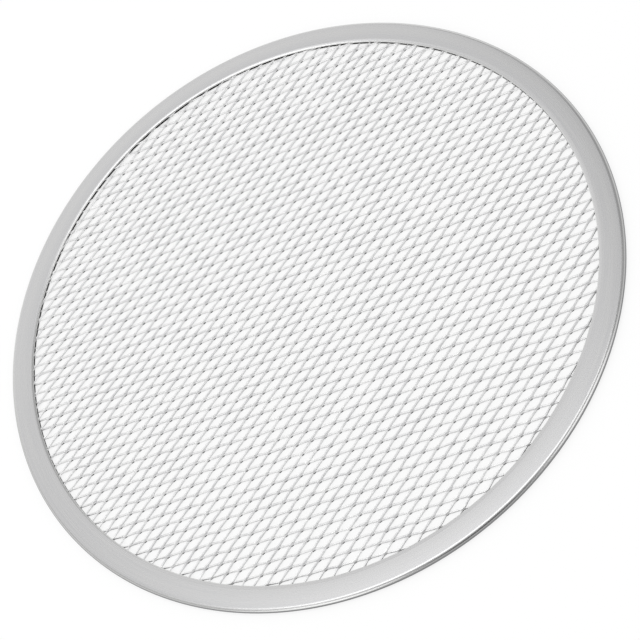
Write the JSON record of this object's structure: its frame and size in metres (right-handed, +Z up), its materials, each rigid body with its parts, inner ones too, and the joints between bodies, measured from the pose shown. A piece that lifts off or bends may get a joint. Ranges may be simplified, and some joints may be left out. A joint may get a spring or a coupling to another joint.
{
  "type": "pizza screen",
  "caption": "Flat round baking screen: a disc of raised expanded aluminium mesh with diamond openings, its edge clamped all round in a folded aluminium rim.",
  "frame": {"origin": "centre of the underside of the rim, on the surface the screen rests on", "axes": "+Z up through the middle of the disc; +X along the long way of the mesh's diamonds, +Y along their short way"},
  "size_m": [0.305, 0.305, 0.0031],
  "materials": {
    "rim": "satin rolled",
    "mesh_disc": "bright mill finish"
  },
  "bodies": {
    "root": {"rim": "rim", "mesh_disc": "mesh_disc"}
  },
  "joints": []
}
